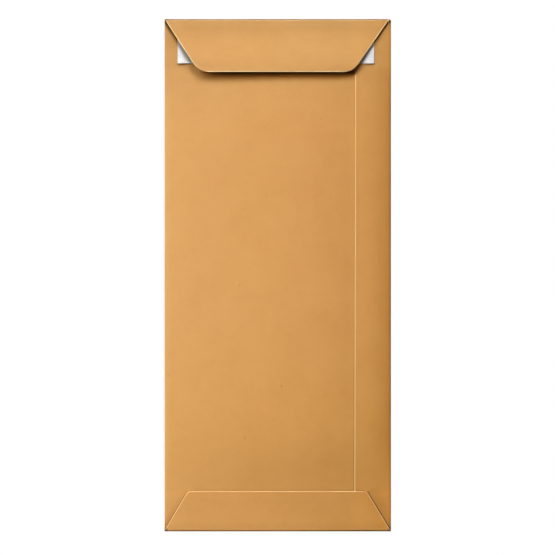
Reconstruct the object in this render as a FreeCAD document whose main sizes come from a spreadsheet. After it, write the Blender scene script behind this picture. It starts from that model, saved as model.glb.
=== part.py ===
import FreeCAD, Part
import math
import os
import Sketcher

# A slim pocket envelope of brown kraft paper, lying on its front panel with
# the back and its flaps upwards.
#
# Frame: millimetres. The origin is the middle of the front panel's outer face,
# on the surface that the envelope lies on. +X runs across the envelope, +Y
# along it towards the closing flap, +Z up out of the back.

os.makedirs("parts", exist_ok=True)
V = FreeCAD.Vector
doc = FreeCAD.newDocument("paper_envelope")

# ---------------------------------------------------------------- dimensions
dims = doc.addObject("Spreadsheet::Sheet", "dims")
dims.Label = "dims"
VALUES = [
    # the folded body
    ("body_width", 101.6),
    ("body_length", 229.7),
    ("paper_thick", 0.15),
    ("tube_height", 1.3),        # outside, over front and back panel
    ("throat_gap", 1.2),         # top fold line down to the pocket's mouth
    # the side seam: the narrow side flap lies on top of the back panel
    ("seam_edge", 34.5),         # raw edge of the side flap, from the middle
    ("seam_ramp", 3.0),          # the back panel dips under it over this width
    ("seam_overlap", 10.0),      # glued width
    # the closing flap, folded over and left unsealed
    ("flap_depth", 23.75),
    ("flap_fold_radius", 0.9),   # outside of the fold
    ("flap_flat", 4.05),         # flat stretch next to the fold
    ("flap_rise_radius", 46.3),  # underside, where it starts to rise
    ("flap_level_radius", 29.4), # underside, where it levels off again
    ("flap_tip_height", 3.8),    # underside of the free edge over the table
    ("flap_left_tip", 50.9),
    ("flap_left_low", 35.4),
    ("flap_right_tip", 49.9),
    ("flap_right_low", 33.4),
    ("flap_corner_radius", 7.0),
    # the bottom flap, glued down over the back
    ("bottom_depth", 18.05),
    ("bottom_left_tip", 50.75),
    ("bottom_left_low", 40.1),
    ("bottom_right_tip", 50.7),
    ("bottom_right_low", 39.8),
    ("bottom_corner_radius", 2.8),
    # the self-seal strip and the liner that covers it
    ("liner_left", 44.9),
    ("liner_right", 43.2),
    ("liner_low", 19.9),         # top fold line down to its lower edge
    ("liner_width", 12.7),
    ("liner_thick", 0.08),
    ("adhesive_thick", 0.05),
    ("adhesive_margin", 1.0),    # the liner reaches this far past the strip
]
for row, (name, value) in enumerate(VALUES, start=1):
    dims.set("A%d" % row, name)
    dims.set("B%d" % row, repr(value))
    dims.setAlias("B%d" % row, name)
doc.recompute()
D = {name: float(dims.get(name)) for name, _ in VALUES}

W, L, T = D["body_width"], D["body_length"], D["paper_thick"]
TH = D["tube_height"]
R_BOTTOM = (TH + T) / 2.0        # outside radius of the bottom fold
R_TOP = D["flap_fold_radius"]
R_SIDE = TH / 2.0                # outside radius of the side folds


# ------------------------------------------------------------ sketch helpers
def plane(body, role):
    for feature in body.Origin.OriginFeatures:
        if feature.Role == role:
            return feature
    raise RuntimeError("no plane " + role)


def new_sketch(body, name, role, lift=None):
    """A sketch on one of the body's own origin planes; lift is an expression
    for its height above that plane."""
    sk = body.newObject("Sketcher::SketchObject", name)
    sk.AttachmentSupport = [(plane(body, role), "")]
    sk.MapMode = "FlatFace"
    if lift is not None:
        sk.setExpression("AttachmentOffset.Base.z", lift)
    return sk


def add_line(sk, x1, y1, x2, y2):
    return sk.addGeometry(Part.LineSegment(V(x1, y1, 0), V(x2, y2, 0)), False)


def add_arc(sk, cx, cy, r, a0, a1):
    """Counter-clockwise from a0 to a1, in degrees."""
    circle = Part.Circle(V(cx, cy, 0), V(0, 0, 1), r)
    return sk.addGeometry(
        Part.ArcOfCircle(circle, math.radians(a0), math.radians(a1)), False)


def bind(sk, name, expression, *args):
    """Adds a dimension and binds it to the sheet."""
    index = sk.addConstraint(Sketcher.Constraint(*args))
    sk.renameConstraint(index, name)
    sk.setExpression("Constraints." + name, expression)
    return index


def tie(sk, kind, *args):
    return sk.addConstraint(Sketcher.Constraint(kind, *args))


def checked(sk):
    doc.recompute()
    solved = sk.solve()
    if solved != 0 or not sk.FullyConstrained:
        raise RuntimeError(
            "sketch %s: solve %s, degrees of freedom %s, redundant %s, "
            "conflicting %s, malformed %s, of %d constraints" % (
                sk.Label, solved, sk.DoF, sk.RedundantConstraints,
                sk.ConflictingConstraints, sk.MalformedConstraints,
                len(sk.Constraints)))
    return sk


def rectangle(sk, prefix, left, right, low, high, x0, x1, y0, y1):
    """An axis-aligned rectangle. left and right are expressions for its
    distances to either side of the middle, low and high for the distances of
    its lower and upper edge from the middle along the second axis."""
    bottom = add_line(sk, x0, y0, x1, y0)
    rside = add_line(sk, x1, y0, x1, y1)
    top = add_line(sk, x1, y1, x0, y1)
    lside = add_line(sk, x0, y1, x0, y0)
    for a, b in ((bottom, rside), (rside, top), (top, lside), (lside, bottom)):
        tie(sk, "Coincident", a, 2, b, 1)
    tie(sk, "Horizontal", bottom)
    tie(sk, "Horizontal", top)
    tie(sk, "Vertical", rside)
    tie(sk, "Vertical", lside)
    bind(sk, prefix + "_left", left, "DistanceX", bottom, 1, -1, 1, -x0)
    bind(sk, prefix + "_right", right, "DistanceX", -1, 1, bottom, 2, x1)
    bind(sk, prefix + "_low", low, "DistanceY", -1, 1, bottom, 1, y0)
    bind(sk, prefix + "_high", high, "DistanceY", -1, 1, top, 1, y1)


# ============================================================== the envelope
env = doc.addObject("PartDesign::Body", "envelope")
env.Label = "envelope"
env.Placement = FreeCAD.Placement(V(0, 0, 0), FreeCAD.Rotation())

# 1. The lengthwise run of the sheet: bottom flap, bottom fold, front panel,
#    top fold and closing flap, drawn from the side as one strip of even
#    thickness. The closing flap lies flat by its fold, rises off the body and
#    levels off again at its free edge.
y_b = L / 2 - D["bottom_depth"]          # bottom flap's edge (negative side)
y_f = L / 2 - D["flap_depth"]            # closing flap's edge
y_a = L / 2 - D["flap_flat"]             # the flap starts to rise here
ra, rb = D["flap_rise_radius"], D["flap_level_radius"]
z_a = 2 * R_TOP - T + ra                 # centre of the rising arc
z_b = D["flap_tip_height"] - rb          # centre of the levelling arc
# the sloping line is the inner tangent of the two arcs' circles
dy, dz = y_a - y_f, z_a - z_b
dist = math.hypot(dy, dz)
slope = math.acos((ra + rb) / dist) - math.atan2(dy, dz)
slope = abs(slope)
sn, cs = math.sin(slope), math.cos(slope)

sk = new_sketch(env, "sheet_side_view", "YZ_Plane")
c1y, c2y = L / 2 - R_BOTTOM, L / 2 - R_TOP
# outer face, from the bottom flap's edge round to the closing flap's edge
o_bf = add_line(sk, -y_b, TH + T, -c1y, TH + T)
o_r1 = add_arc(sk, -c1y, R_BOTTOM, R_BOTTOM, 90, 270)
o_fp = add_line(sk, -c1y, 0, c2y, 0)
o_r2 = add_arc(sk, c2y, R_TOP, R_TOP, 270, 450)
o_fl = add_line(sk, c2y, 2 * R_TOP, y_a, 2 * R_TOP)
o_ra = add_arc(sk, y_a, z_a, ra - T, 270 - math.degrees(slope), 270)
o_sl = add_line(sk, y_a - (ra - T) * sn, z_a - (ra - T) * cs,
                y_f + (rb + T) * sn, z_b + (rb + T) * cs)
o_rb = add_arc(sk, y_f, z_b, rb + T, 90 - math.degrees(slope), 90)
# free edge of the closing flap
tip = add_line(sk, y_f, z_b + rb + T, y_f, z_b + rb)
# inner face, back again
i_rb = add_arc(sk, y_f, z_b, rb, 90 - math.degrees(slope), 90)
i_sl = add_line(sk, y_f + rb * sn, z_b + rb * cs, y_a - ra * sn, z_a - ra * cs)
i_ra = add_arc(sk, y_a, z_a, ra, 270 - math.degrees(slope), 270)
i_fl = add_line(sk, y_a, 2 * R_TOP - T, c2y, 2 * R_TOP - T)
i_r2 = add_arc(sk, c2y, R_TOP, R_TOP - T, 270, 450)
i_fp = add_line(sk, c2y, T, -c1y, T)
i_r1 = add_arc(sk, -c1y, R_BOTTOM, R_BOTTOM - T, 90, 270)
i_bf = add_line(sk, -c1y, TH, -y_b, TH)
tail = add_line(sk, -y_b, TH, -y_b, TH + T)

for a, pa, b, pb in (
        (o_bf, 2, o_r1, 1), (o_r1, 2, o_fp, 1), (o_fp, 2, o_r2, 1),
        (o_r2, 2, o_fl, 1), (o_fl, 2, o_ra, 2), (o_ra, 1, o_sl, 1),
        (o_sl, 2, o_rb, 1),
        (i_rb, 1, i_sl, 1), (i_sl, 2, i_ra, 1), (i_ra, 2, i_fl, 1),
        (i_fl, 2, i_r2, 2), (i_r2, 1, i_fp, 1), (i_fp, 2, i_r1, 2),
        (i_r1, 1, i_bf, 1)):
    tie(sk, "Tangent", a, pa, b, pb)
for a, pa, b, pb in ((o_rb, 2, tip, 1), (tip, 2, i_rb, 2),
                     (i_bf, 2, tail, 1), (tail, 2, o_bf, 1)):
    tie(sk, "Coincident", a, pa, b, pb)
for a, b in ((o_r1, i_r1), (o_r2, i_r2), (o_ra, i_ra), (o_rb, i_rb)):
    tie(sk, "Coincident", a, 3, b, 3)
for g in (o_bf, o_fp, o_fl, i_bf):
    tie(sk, "Horizontal", g)
tie(sk, "Vertical", tail)
tie(sk, "PointOnObject", o_fp, 1, -1)
bind(sk, "bottom_fold", "(dims.tube_height + dims.paper_thick) / 2",
     "Radius", o_r1, R_BOTTOM)
bind(sk, "bottom_fold_inside", "(dims.tube_height - dims.paper_thick) / 2",
     "Radius", i_r1, R_BOTTOM - T)
bind(sk, "top_fold", "dims.flap_fold_radius", "Radius", o_r2, R_TOP)
bind(sk, "top_fold_inside", "dims.flap_fold_radius - dims.paper_thick",
     "Radius", i_r2, R_TOP - T)
bind(sk, "rise", "dims.flap_rise_radius", "Radius", i_ra, ra)
bind(sk, "rise_outside", "dims.flap_rise_radius - dims.paper_thick",
     "Radius", o_ra, ra - T)
bind(sk, "level", "dims.flap_level_radius", "Radius", i_rb, rb)
bind(sk, "level_outside", "dims.flap_level_radius + dims.paper_thick",
     "Radius", o_rb, rb + T)
bind(sk, "lower_end",
     "dims.body_length / 2 - (dims.tube_height + dims.paper_thick) / 2",
     "DistanceX", o_r1, 3, -1, 1, c1y)
bind(sk, "upper_end", "dims.body_length / 2 - dims.flap_fold_radius",
     "DistanceX", -1, 1, o_r2, 3, c2y)
bind(sk, "flat_end", "dims.body_length / 2 - dims.flap_flat",
     "DistanceX", -1, 1, i_ra, 3, y_a)
bind(sk, "bottom_flap_edge", "dims.body_length / 2 - dims.bottom_depth",
     "DistanceX", tail, 1, -1, 1, y_b)
bind(sk, "free_edge", "dims.body_length / 2 - dims.flap_depth",
     "DistanceX", -1, 1, i_rb, 3, y_f)
bind(sk, "free_edge_height", "dims.flap_tip_height",
     "DistanceY", -1, 1, tip, 2, D["flap_tip_height"])
tie(sk, "Vertical", i_rb, 2, i_rb, 3)
tie(sk, "Vertical", o_rb, 2, o_rb, 3)
checked(sk)

strip = env.newObject("PartDesign::Pad", "sheet_strip")
strip.Profile = sk
strip.SideType = "Symmetric"
strip.setExpression("Length", "dims.body_width - dims.tube_height")
strip.Length = W - TH
doc.recompute()


# 2. The slanted sides and round corners of the two end flaps.
def trim_side(sk, prefix, sign, edge, tip_x, low_x, radius, end, names):
    """Cuts what lies outside one slanted side of a flap. The flap's base line
    is at +-end and its free edge at +-edge along the second axis; sign is +1
    for the side at +X. The slant runs from tip_x at the base to low_x at the
    free edge, and meets the edge in a round corner."""
    up = 1.0 if end > 0 else -1.0
    edge, end = abs(edge), abs(end)
    tx, lx = sign * tip_x, sign * low_x
    # unit vector along the slant, towards the base
    ux, uy = tx - lx, end - edge
    n = math.hypot(ux, uy)
    ux, uy = ux / n, uy / n
    # centre of the corner's arc: inside the flap, radius off both lines
    half = math.acos(max(-1.0, min(1.0, -sign * ux))) / 2.0
    run = radius / math.tan(half)            # from the sharp corner
    cx, cy = lx - sign * run, edge + radius
    px, py = lx + ux * run, edge + uy * run  # arc meets the slant
    far, below = sign * (W / 2 + 3.0), edge - 1.0

    def Y(v):
        return up * v

    slant = add_line(sk, tx, Y(end), px, Y(py))
    a_edge = -90.0 * up
    a_slant = math.degrees(math.atan2(up * (py - cy), px - cx))
    if (sign > 0) == (up > 0):
        arc = add_arc(sk, cx, Y(cy), radius, a_edge, a_slant)
        at_edge, at_slant = 1, 2
    else:
        arc = add_arc(sk, cx, Y(cy), radius, a_slant, a_edge)
        at_edge, at_slant = 2, 1
    drop = add_line(sk, cx, Y(edge), cx, Y(below))
    foot = add_line(sk, cx, Y(below), far, Y(below))
    side = add_line(sk, far, Y(below), far, Y(end))
    cap = add_line(sk, far, Y(end), tx, Y(end))
    tie(sk, "Tangent", slant, 2, arc, at_slant)
    tie(sk, "Coincident", arc, at_edge, drop, 1)
    tie(sk, "Coincident", drop, 2, foot, 1)
    tie(sk, "Coincident", foot, 2, side, 1)
    tie(sk, "Coincident", side, 2, cap, 1)
    tie(sk, "Coincident", cap, 2, slant, 1)
    tie(sk, "Vertical", drop)
    tie(sk, "Vertical", arc, 3, drop, 1)     # the arc runs into the free edge
    tie(sk, "Horizontal", foot)
    tie(sk, "Vertical", side)
    tie(sk, "Horizontal", cap)
    # a construction point keeps the sharp corner, where slant and edge meet
    corner = sk.addGeometry(Part.Point(V(lx, Y(edge), 0)), True)
    tie(sk, "PointOnObject", corner, 1, slant)
    bind(sk, prefix + "_radius", names["radius"], "Radius", arc, radius)
    for label, expression, point, value, axis in (
            ("_tip", names["tip"], (cap, 2), tx, "X"),
            ("_low", names["low"], (corner, 1), lx, "X"),
            ("_out", "dims.body_width / 2 + 3", (side, 1), far, "X"),
            ("_base", "dims.body_length / 2", (cap, 2), Y(end), "Y"),
            ("_edge", names["edge"], (arc, at_edge), Y(edge), "Y"),
            ("_corner", names["edge"], (corner, 1), Y(edge), "Y"),
            ("_foot", names["edge"] + " - 1", (foot, 1), Y(below), "Y")):
        if value > 0:
            bind(sk, prefix + label, expression,
                 "Distance" + axis, -1, 1, point[0], point[1], value)
        else:
            bind(sk, prefix + label, expression,
                 "Distance" + axis, point[0], point[1], -1, 1, -value)


def trim(name, lift, sides):
    before = env.Shape.Volume
    sk = new_sketch(env, name + "_outline", "XY_Plane", lift)
    for side in sides:
        trim_side(sk, *side)
    checked(sk)
    cut = env.newObject("PartDesign::Pocket", name)
    cut.Profile = sk
    cut.Type = "ThroughAll"
    cut.Reversed = True
    doc.recompute()
    if not env.Shape.Volume < before - 1.0:
        raise RuntimeError(name + " cut nothing")


CLOSING_EDGE = "dims.body_length / 2 - dims.flap_depth"
BOTTOM_EDGE = "dims.body_length / 2 - dims.bottom_depth"
trim("closing_flap_trim", "dims.flap_fold_radius", (
    ("left", -1, y_f, D["flap_left_tip"], D["flap_left_low"],
     D["flap_corner_radius"], L / 2,
     {"radius": "dims.flap_corner_radius", "tip": "dims.flap_left_tip",
      "low": "dims.flap_left_low", "edge": CLOSING_EDGE}),
    ("right", 1, y_f, D["flap_right_tip"], D["flap_right_low"],
     D["flap_corner_radius"], L / 2,
     {"radius": "dims.flap_corner_radius", "tip": "dims.flap_right_tip",
      "low": "dims.flap_right_low", "edge": CLOSING_EDGE})))
trim("bottom_flap_trim", "(dims.tube_height + dims.paper_thick) / 2", (
    ("left", -1, y_b, D["bottom_left_tip"], D["bottom_left_low"],
     D["bottom_corner_radius"], -L / 2,
     {"radius": "dims.bottom_corner_radius", "tip": "dims.bottom_left_tip",
      "low": "dims.bottom_left_low", "edge": BOTTOM_EDGE}),
    ("right", 1, y_b, D["bottom_right_tip"], D["bottom_right_low"],
     D["bottom_corner_radius"], -L / 2,
     {"radius": "dims.bottom_corner_radius", "tip": "dims.bottom_right_tip",
      "low": "dims.bottom_right_low", "edge": BOTTOM_EDGE})))

# 3. The crosswise run of the sheet: front panel, both side folds, the wide
#    back panel and the narrow side flap glued on top of it, drawn from the
#    end as a flat tube. The pocket inside stays open at the top.
sk = new_sketch(env, "tube_end_view", "XZ_Plane")
xf = W / 2 - R_SIDE                       # centre of a side fold
xs = D["seam_edge"]
xr = xs - D["seam_ramp"]
xe = xs + D["seam_overlap"]
o_bot = add_line(sk, -xf, 0, xf, 0)
o_rgt = add_arc(sk, xf, R_SIDE, R_SIDE, 270, 450)
o_sid = add_line(sk, xf, TH, xs, TH)      # top of the side flap
o_raw = add_line(sk, xs, TH, xs, TH - T)  # its raw edge
o_rmp = add_line(sk, xs, TH - T, xr, TH)  # the back panel dips under it
o_top = add_line(sk, xr, TH, -xf, TH)
o_lft = add_arc(sk, -xf, R_SIDE, R_SIDE, 90, 270)
i_bot = add_line(sk, -xf, T, xf, T)
i_rgt = add_arc(sk, xf, R_SIDE, R_SIDE - T, 270, 450)
i_sid = add_line(sk, xf, TH - T, xe, TH - T)
i_raw = add_line(sk, xe, TH - T, xe, TH - 2 * T)
i_ovl = add_line(sk, xe, TH - 2 * T, xs, TH - 2 * T)
i_rmp = add_line(sk, xs, TH - 2 * T, xr, TH - T)
i_top = add_line(sk, xr, TH - T, -xf, TH - T)
i_lft = add_arc(sk, -xf, R_SIDE, R_SIDE - T, 90, 270)
for a, pa, b, pb in (
        (o_bot, 2, o_rgt, 1), (o_rgt, 2, o_sid, 1),
        (o_top, 2, o_lft, 1), (o_lft, 2, o_bot, 1),
        (i_bot, 2, i_rgt, 1), (i_rgt, 2, i_sid, 1),
        (i_top, 2, i_lft, 1), (i_lft, 2, i_bot, 1)):
    tie(sk, "Tangent", a, pa, b, pb)
for a, b in ((o_sid, o_raw), (o_raw, o_rmp), (o_rmp, o_top),
             (i_sid, i_raw), (i_raw, i_ovl), (i_ovl, i_rmp), (i_rmp, i_top)):
    tie(sk, "Coincident", a, 2, b, 1)
tie(sk, "Coincident", o_rgt, 3, i_rgt, 3)
tie(sk, "Coincident", o_lft, 3, i_lft, 3)
for g in (o_bot, i_ovl, o_top, i_top):
    tie(sk, "Horizontal", g)
tie(sk, "Vertical", o_raw)
tie(sk, "Vertical", i_raw)
tie(sk, "PointOnObject", o_bot, 1, -1)
bind(sk, "right_fold", "dims.tube_height / 2", "Radius", o_rgt, R_SIDE)
bind(sk, "left_fold", "dims.tube_height / 2", "Radius", o_lft, R_SIDE)
bind(sk, "right_fold_inside", "dims.tube_height / 2 - dims.paper_thick",
     "Radius", i_rgt, R_SIDE - T)
bind(sk, "left_fold_inside", "dims.tube_height / 2 - dims.paper_thick",
     "Radius", i_lft, R_SIDE - T)
bind(sk, "right_centre", "dims.body_width / 2 - dims.tube_height / 2",
     "DistanceX", -1, 1, o_rgt, 3, xf)
bind(sk, "left_centre", "dims.body_width / 2 - dims.tube_height / 2",
     "DistanceX", o_lft, 3, -1, 1, xf)
tie(sk, "Horizontal", o_sid)
tie(sk, "Horizontal", i_sid)
bind(sk, "seam_edge", "dims.seam_edge", "DistanceX", -1, 1, o_raw, 1, xs)
bind(sk, "ramp_end", "dims.seam_edge - dims.seam_ramp",
     "DistanceX", -1, 1, o_rmp, 2, xr)
bind(sk, "overlap_end", "dims.seam_edge + dims.seam_overlap",
     "DistanceX", -1, 1, i_raw, 1, xe)
tie(sk, "Vertical", o_raw, 2, i_ovl, 2)
tie(sk, "Vertical", o_rmp, 2, i_rmp, 2)
bind(sk, "raw_edge", "dims.paper_thick", "DistanceY", o_raw, 2, o_raw, 1, T)
bind(sk, "raw_edge_inside", "dims.paper_thick",
     "DistanceY", i_raw, 2, i_raw, 1, T)
checked(sk)

before = env.Shape.Volume
tube = env.newObject("PartDesign::Pad", "tube")
tube.Profile = sk
tube.SideType = "Two sides"
tube.setExpression(
    "Length", "dims.body_length / 2 - (dims.tube_height + dims.paper_thick) / 2")
tube.setExpression("Length2", "dims.body_length / 2 - dims.throat_gap")
tube.Refine = True
doc.recompute()
if not env.Shape.Volume > before + 1.0:
    raise RuntimeError("the tube added nothing")

# ======================================================= the self-seal strip
# A thin band of adhesive on the back panel, under the closing flap.
glue = doc.addObject("PartDesign::Body", "adhesive_strip")
glue.Label = "adhesive_strip"
glue.Placement = FreeCAD.Placement(V(0, 0, 0), FreeCAD.Rotation())
m = D["adhesive_margin"]
low = L / 2 - D["liner_low"]
sk = new_sketch(glue, "adhesive_outline", "XY_Plane", "dims.tube_height")
rectangle(sk, "adhesive",
          "dims.liner_left - dims.adhesive_margin",
          "dims.liner_right - dims.adhesive_margin",
          "dims.body_length / 2 - dims.liner_low + dims.adhesive_margin",
          "dims.body_length / 2 - dims.liner_low + dims.liner_width"
          " - dims.adhesive_margin",
          -(D["liner_left"] - m), D["liner_right"] - m,
          low + m, low + D["liner_width"] - m)
checked(sk)
pad = glue.newObject("PartDesign::Pad", "adhesive_film")
pad.Profile = sk
pad.setExpression("Length", "dims.adhesive_thick")

# ========================================================== the release liner
# The white peel-off strip that covers the adhesive; its ends show beside the
# slanted sides of the closing flap.
liner = doc.addObject("PartDesign::Body", "release_liner")
liner.Label = "release_liner"
liner.Placement = FreeCAD.Placement(V(0, 0, 0), FreeCAD.Rotation())
sk = new_sketch(liner, "liner_outline", "XY_Plane",
                "dims.tube_height + dims.adhesive_thick")
rectangle(sk, "liner", "dims.liner_left", "dims.liner_right",
          "dims.body_length / 2 - dims.liner_low",
          "dims.body_length / 2 - dims.liner_low + dims.liner_width",
          -D["liner_left"], D["liner_right"], low, low + D["liner_width"])
checked(sk)
pad = liner.newObject("PartDesign::Pad", "liner_strip")
pad.Profile = sk
pad.setExpression("Length", "dims.liner_thick")

doc.recompute()

# -------------------------------------------------------- check, then export
for obj in doc.Objects:
    if "Invalid" in obj.State or "Error" in obj.State:
        raise RuntimeError("%s failed: %s" % (obj.Name, obj.State))
bodies = [env, glue, liner]
for body in bodies:
    shape = body.Shape
    if shape.isNull() or not shape.isValid() or len(shape.Solids) != 1:
        raise RuntimeError("bad shape: " + body.Label)
for body in bodies:
    shape = body.Shape
    box = shape.BoundBox
    print("%-16s volume %9.2f mm3  faces %3d  box %.3f..%.3f  %.3f..%.3f  "
          "%.3f..%.3f" % (body.Label, shape.Volume, len(shape.Faces),
                          box.XMin, box.XMax, box.YMin, box.YMax,
                          box.ZMin, box.ZMax))
    shape.exportStep("parts/%s.step" % body.Label)
print("slope of the raised flap: %.2f degrees" % math.degrees(slope))
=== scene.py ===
import math

import bpy
import numpy as np
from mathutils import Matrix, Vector


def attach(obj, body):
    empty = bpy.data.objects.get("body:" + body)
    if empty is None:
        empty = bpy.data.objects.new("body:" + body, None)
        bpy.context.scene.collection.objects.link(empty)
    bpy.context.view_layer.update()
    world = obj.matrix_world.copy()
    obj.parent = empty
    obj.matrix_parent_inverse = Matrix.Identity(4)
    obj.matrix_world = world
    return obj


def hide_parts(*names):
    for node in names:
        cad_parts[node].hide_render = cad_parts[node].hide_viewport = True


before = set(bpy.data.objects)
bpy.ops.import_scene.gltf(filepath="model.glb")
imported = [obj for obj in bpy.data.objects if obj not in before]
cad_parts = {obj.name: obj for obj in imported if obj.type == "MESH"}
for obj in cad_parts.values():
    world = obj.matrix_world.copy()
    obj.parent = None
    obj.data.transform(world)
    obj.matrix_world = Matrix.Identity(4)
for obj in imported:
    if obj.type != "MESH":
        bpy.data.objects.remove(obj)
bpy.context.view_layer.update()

# A slim kraft-paper pocket envelope, lying on its front panel with the flap
# side up. All shapes below are worked out in millimetres and put into the
# meshes in metres. +Y runs to the closing flap, +Z up out of the back.
#
# The envelope is one sheet. It is built as its real, flat blank is: a front
# panel with the wide back panel on its left edge, the narrow seam flap on its
# right edge, and an end flap at each end. Every part of the sheet has its real
# thickness and is carried round its folds.

MM = 0.001
W, L = 101.6, 229.7
XL, XR = -W / 2, W / 2
YB, YT = -L / 2, L / 2
T = 0.15                      # paper
RFL, RFR = 0.27, 0.44         # outside of the left and right side folds
CXL, CXR = XL + RFL, XR - RFR  # their centres
RT = 0.90                     # outside of the top fold
BEVEL = 0.11                  # how far a cut edge's middle stands out
TUBE_LOW, TUBE_HIGH = YB + 0.60, YT - 0.95
GLUE = 0.012                  # between two glued layers


def smooth(a, b, v):
    u = np.clip((np.asarray(v, float) - a) / (b - a), 0.0, 1.0)
    return u * u * (3 - 2 * u)


# ------------------------------------------------------- the body's own shape
# Height of the back over the table: it springs off both side folds, steeply on
# the right, and is nearly level in between.
_gx = np.linspace(CXL, CXR, 4001)
S_LEFT, A_LEFT = 0.190, 3.4
S_RIGHT, A_RIGHT = 0.360, 2.6


def _slope(x):
    rise = S_LEFT * np.exp(-(x - CXL) / A_LEFT)
    fall = S_RIGHT * np.exp(-(CXR - x) / A_RIGHT) + 0.105 * np.exp(-(CXR - x) / 13.0)
    u = (x - CXL) / (CXR - CXL)
    return rise - fall + BROAD * (1.0 - TURN * u) + 0.020 * (1.0 - 2.0 * u)


BROAD, TURN = 0.0, 1.0
_step = _gx[1] - _gx[0]
_lack = -np.sum(_slope(_gx)) * _step
_unit = np.sum(1.0 - TURN * (_gx - CXL) / (CXR - CXL)) * _step
BROAD = _lack / _unit
_gz = np.concatenate([[0.0], np.cumsum((_slope(_gx)[1:] + _slope(_gx)[:-1]) / 2) * _step])
_gz -= np.linspace(0, _gz[-1], len(_gz))
SL0 = float(_slope(_gx[:1])[0])
SR0 = float(-_slope(_gx[-1:])[0])


def along(y):
    """How far the body has swelled at y: not at all at the two end folds."""
    return smooth(YB + 0.3, YB + 46.0, y) * smooth(0, 1, (YT - 0.6 - y) / 48.0)


def body_height(x, y):
    x, y = np.broadcast_arrays(np.asarray(x, float), np.asarray(y, float))
    e = along(y)
    p = np.interp(x, _gx, _gz)
    p = p + np.where(x < CXL, (x - CXL) * SL0, 0) - np.where(x > CXR, (x - CXR) * SR0, 0)
    cl = np.sqrt(1 + (e * SL0) ** 2)
    cr = np.sqrt(1 + (e * SR0) ** 2)
    u = (x - CXL) / (CXR - CXL)
    inner = smooth(CXL, CXL + 14, x) * smooth(0, 1, (CXR - x) / 14.0) * e
    wave = (0.050 * np.sin(x / 17.0 + 0.7) * np.sin(y / 23.0 + 1.9)
            + 0.040 * np.sin(x / 11.0 - y / 31.0 + 0.4)
            + 0.028 * np.sin(y / 9.5 + x / 40.0 + 2.2)
            + 0.016 * np.sin(x / 5.6 + y / 14.0))
    ends = RFL * (1 + cl) * (1 - u) + RFR * (1 + cr) * u
    return ends + e * p + inner * wave


# -------------------------------------------------------------- the side seam
def seam_x(y):
    y = np.asarray(y, float)
    return 34.540 + 0.0018 * y - 3.1e-6 * y * y


SEAM_BEVEL = 0.22


HIDDEN_X = 44.4                # raw edge of the back panel, under the seam flap


def seam_flap_height(x, y):
    over = 1.0 - smooth(HIDDEN_X - 0.2, HIDDEN_X + 3.4, x)
    line = 0.030 * np.exp(-((x - seam_x(y) - 1.25) / 0.26) ** 2)
    return body_height(x, y) + (T + GLUE) * over + line * smooth(5, 40, y) * smooth(93, 90.6, y)


def under_bottom_flap(x, y):
    s = seam_x(y)
    on = smooth(-8.0, -0.9, x - s) * (1.0 - smooth(HIDDEN_X + 0.4, HIDDEN_X + 6.2, x))
    return body_height(x, y) + (T + GLUE) * on + 0.014


# ------------------------------------------------------------ mesh collection
class Mesh:
    """Collects vertices, faces and per-vertex values."""

    def __init__(self):
        self.co, self.blank, self.rim, self.fold, self.inside = [], [], [], [], []
        self.faces = []

    def add(self, p, blank, rim=0.0, fold=0.0, inside=0.0):
        self.co.append((p[0] * MM, p[1] * MM, p[2] * MM))
        self.blank.append((blank[0], blank[1], 0.0 if inside < 0.5 else 61.0))
        self.rim.append(rim)
        self.fold.append(fold)
        self.inside.append(inside)
        return len(self.co) - 1

    def quad(self, a, b, c, d):
        ring = []
        for v in (a, b, c, d):
            if v not in ring:
                ring.append(v)
        if len(ring) > 2:
            self.faces.append(tuple(ring))

    def build(self, name, sharp=32.0):
        me = bpy.data.meshes.new(name)
        me.from_pydata(self.co, [], self.faces)
        me.validate()
        for key, kind, data in (("blank", "FLOAT_VECTOR", self.blank),
                                ("rim", "FLOAT", self.rim),
                                ("crease", "FLOAT", self.fold),
                                ("inside", "FLOAT", self.inside)):
            layer = me.attributes.new(key, kind, "POINT")
            flat = np.asarray(data, np.float32).ravel()
            layer.data.foreach_set("vector" if kind == "FLOAT_VECTOR" else "value", flat)
        me.shade_smooth()
        me.set_sharp_from_angle(angle=math.radians(sharp))
        me.update()
        ob = bpy.data.objects.new(name, me)
        bpy.context.scene.collection.objects.link(ob)
        return ob


class Sheet:
    """A grid of stations through the paper. Each station has an outer and an
    inner point; boundary stations also get a rim that closes the cut edge."""

    def __init__(self, mesh):
        self.m = mesh
        self.outer, self.inner = {}, {}

    def station(self, key, outer, inner, blank, rim=0.0, fold=0.0):
        if key not in self.outer:
            self.outer[key] = self.m.add(outer, blank, rim, fold, 0.0)
            self.inner[key] = self.m.add(inner, blank, rim, fold, 1.0)

    def patch(self, keys):
        """keys is a list of rows of station keys, wound so that the outer
        face looks out."""
        for r0, r1 in zip(keys, keys[1:]):
            for i in range(len(r0) - 1):
                a, b, c, d = r0[i], r0[i + 1], r1[i + 1], r1[i]
                self.m.quad(*(self.outer[k] for k in (a, b, c, d)))
                self.m.quad(*(self.inner[k] for k in (d, c, b, a)))

    def close(self, loop, out):
        """Closes the cut edge along a loop of keys, walked with the sheet's
        outer face up and the paper on the left. out gives each station's
        outward direction in the sheet and the bevel's size."""
        mids = []
        for k in loop:
            o = np.array(self.m.co[self.outer[k]]) / MM
            i = np.array(self.m.co[self.inner[k]]) / MM
            d = np.array(out(k))
            mid = i + (o - i) * 0.42 + d
            mids.append(self.m.add(mid, self.m.blank[self.outer[k]][:2], 1.0, 0.0, 0.0))
        n = len(loop)
        for j in range(n):
            a, b = loop[j], loop[(j + 1) % n]
            ma, mb = mids[j], mids[(j + 1) % n]
            self.m.quad(self.outer[a], self.outer[b], mb, ma)
            self.m.quad(ma, mb, self.inner[b], self.inner[a])


# --------------------------------------------------------------- the stations
mesh = Mesh()
sheet = Sheet(mesh)

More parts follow.
